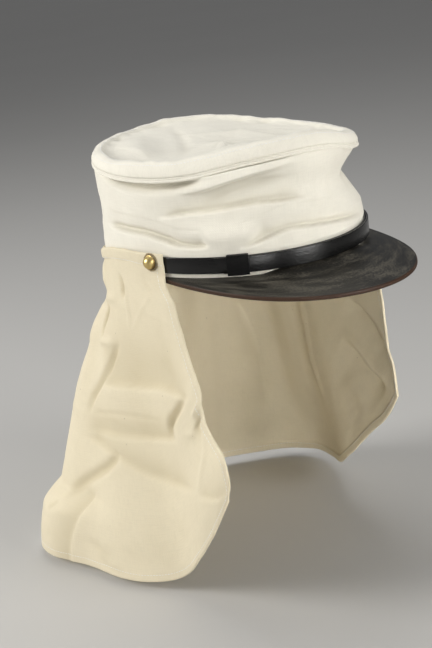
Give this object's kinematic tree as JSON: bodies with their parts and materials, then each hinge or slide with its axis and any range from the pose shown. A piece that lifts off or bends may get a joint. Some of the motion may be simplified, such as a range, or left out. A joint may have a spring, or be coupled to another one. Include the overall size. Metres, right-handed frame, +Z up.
{
  "type": "kepi cap with neck curtain",
  "caption": "White cotton kepi with a black leather peak, a chin strap on brass side buttons and a cream cotton curtain that hangs round the neck.",
  "frame": {"origin": "centre of the head opening, level with the lower edge of the side wall, where the hat sits on a head", "axes": "+Z up along the head's axis, -Y towards the peak at the front, +X towards the wearer's left; metres"},
  "size_m": [0.2685, 0.3143, 0.3185],
  "materials": {
    "white_cotton": "plain-woven white cotton, matt, lightly creased",
    "cream_cotton": "unbleached cream cotton with small dark seed flecks",
    "peak_leather": "dull black leather, scuffed grey, with a raw brown edge",
    "strap_leather": "glossy black leather",
    "keeper_leather": "dull black leather",
    "old_brass": "domed brass with worn highlights"
  },
  "bodies": {
    "root": {"crown_side": "white_cotton", "crown_welt": "white_cotton", "crown_top": "white_cotton", "peak": "peak_leather", "strap_under": "strap_leather", "strap_over": "strap_leather", "strap_keeper": "keeper_leather", "neck_curtain": "cream_cotton", "button_right": "old_brass", "button_left": "old_brass"}
  },
  "joints": []
}
